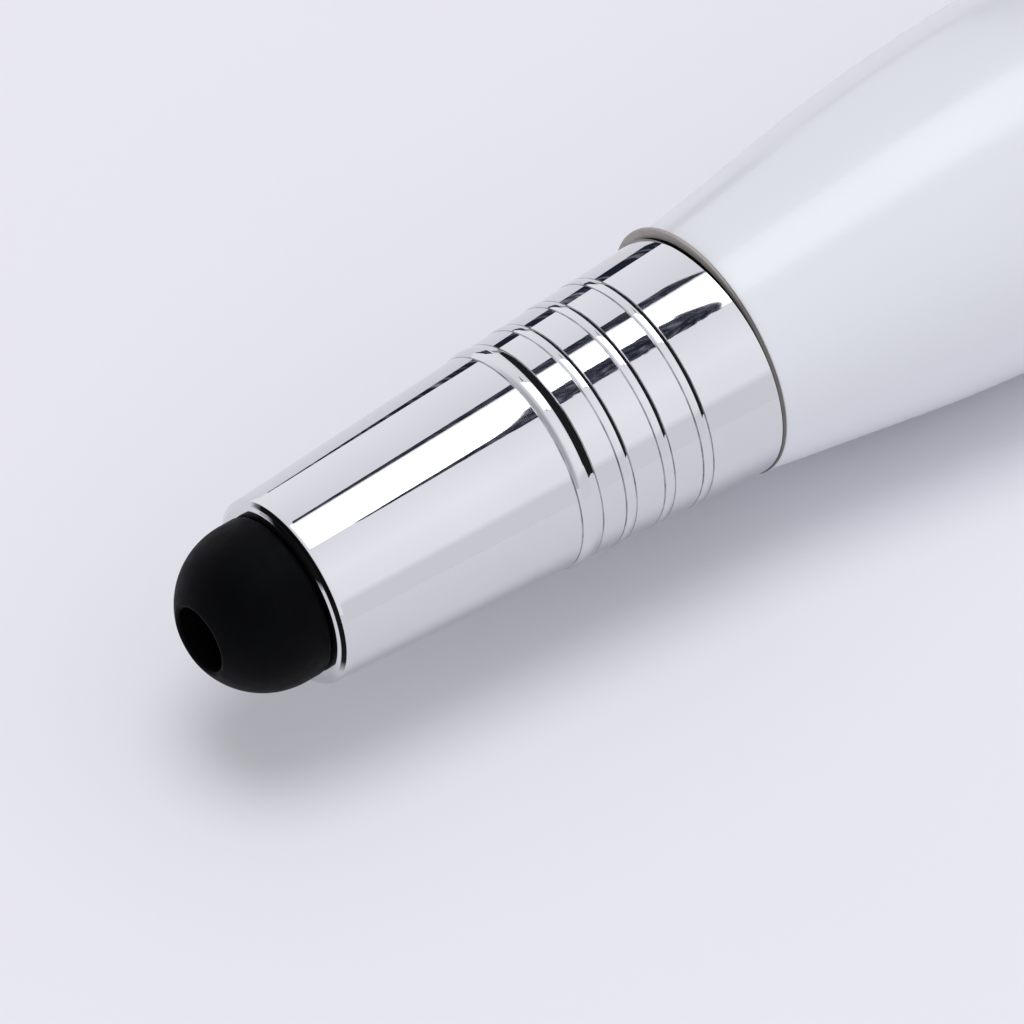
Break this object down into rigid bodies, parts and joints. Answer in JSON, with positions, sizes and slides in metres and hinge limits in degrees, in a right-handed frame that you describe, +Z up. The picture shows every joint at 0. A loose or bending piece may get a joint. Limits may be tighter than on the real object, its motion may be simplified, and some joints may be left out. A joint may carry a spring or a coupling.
{
  "type": "ballpoint pen usb drive",
  "caption": "Twist-action ballpoint pen with a rubber stylus nose, bright tapered cone and swelling white barrel, and a flash drive under its pull-off clip cap.",
  "frame": {"origin": "on the surface that the pen lies on, under the pen's axis, half-way along its length", "axes": "+X along the pen from tip to tail, +Z up, +Y to the side away from the pocket clip"},
  "size_m": [0.1426, 0.016, 0.015],
  "materials": {
    "black_rubber": "matte",
    "chrome_plate": "mirror",
    "plain_brass": "turned",
    "bare_rim": "bare, dull",
    "white_lacquer": "gloss",
    "ivory_acetal": "moulded",
    "dark_acetal": "moulded",
    "spring_steel": "drawn",
    "nickel_silver": "turned",
    "carbide": "polished",
    "ink": "wet",
    "case_plastic": "fine grain",
    "board_green": "solder mask",
    "chip_resin": "moulded",
    "crystal_can": "satin",
    "ceramic": "fired",
    "plug_steel": "plated",
    "insert_plastic": "moulded",
    "contact_gold": "gold plate"
  },
  "bodies": {
    "grip": {"stylus_tip": "black_rubber", "nose_cone": "chrome_plate", "point_guide": "plain_brass", "front_bush": "bare_rim", "lower_barrel": "white_lacquer", "guide_tube": "ivory_acetal", "retaining_ring": "spring_steel", "return_spring": "spring_steel"},
    "refill": {"refill_point": "nickel_silver", "refill_tube": "plain_brass", "ink_column": "ink", "spring_collar": "ivory_acetal", "plunger": "dark_acetal", "cross_pin": "spring_steel"},
    "ball": {"writing_ball": "carbide"},
    "drive": {"cam_sleeve": "dark_acetal", "drive_hub": "plain_brass", "centre_band": "chrome_plate", "grip_ring": "black_rubber", "case_top": "case_plastic", "case_bottom": "case_plastic", "circuit_board": "board_green", "memory_chip": "chip_resin", "controller_chip": "chip_resin", "crystal": "crystal_can", "board_passives": "ceramic", "usb_shell": "plug_steel", "usb_insert": "insert_plastic", "usb_contacts": "contact_gold"},
    "cap": {"upper_barrel": "white_lacquer", "tail_plug": "plain_brass", "finial": "chrome_plate"},
    "clip": {"pocket_clip": "chrome_plate"}
  },
  "joints": [
    {"name": "twist", "type": "hinge", "parent": "grip", "child": "drive", "pos_m": [0.00425, 0, 0.0075], "axis": [1, 0, 0], "range_deg": [0, 180]},
    {"name": "point_slide", "type": "slide", "parent": "grip", "child": "refill", "axis": [-1, 0, 0], "range_m": [0, 0.005], "deforming": ["return_spring"]},
    {"name": "ball_roll", "type": "hinge", "parent": "refill", "child": "ball", "pos_m": [-0.06925, 0, 0.0075], "axis": [0, 1, 0], "continuous": true},
    {"name": "cap_pull", "type": "slide", "parent": "drive", "child": "cap", "axis": [1, 0, 0], "range_m": [0, 0.05]},
    {"name": "clip_flex", "type": "hinge", "parent": "cap", "child": "clip", "pos_m": [0.0621, -0.00501, 0.00336], "axis": [0, -0.6367, 0.7711], "range_deg": [0, 3.5], "stiffness_Nm_per_rad": 0.5, "springref_deg": -1.15}
  ],
  "couplings": [
    {"joint": "point_slide", "follows": "twist", "m_per_rad": 0.0015915}
  ]
}
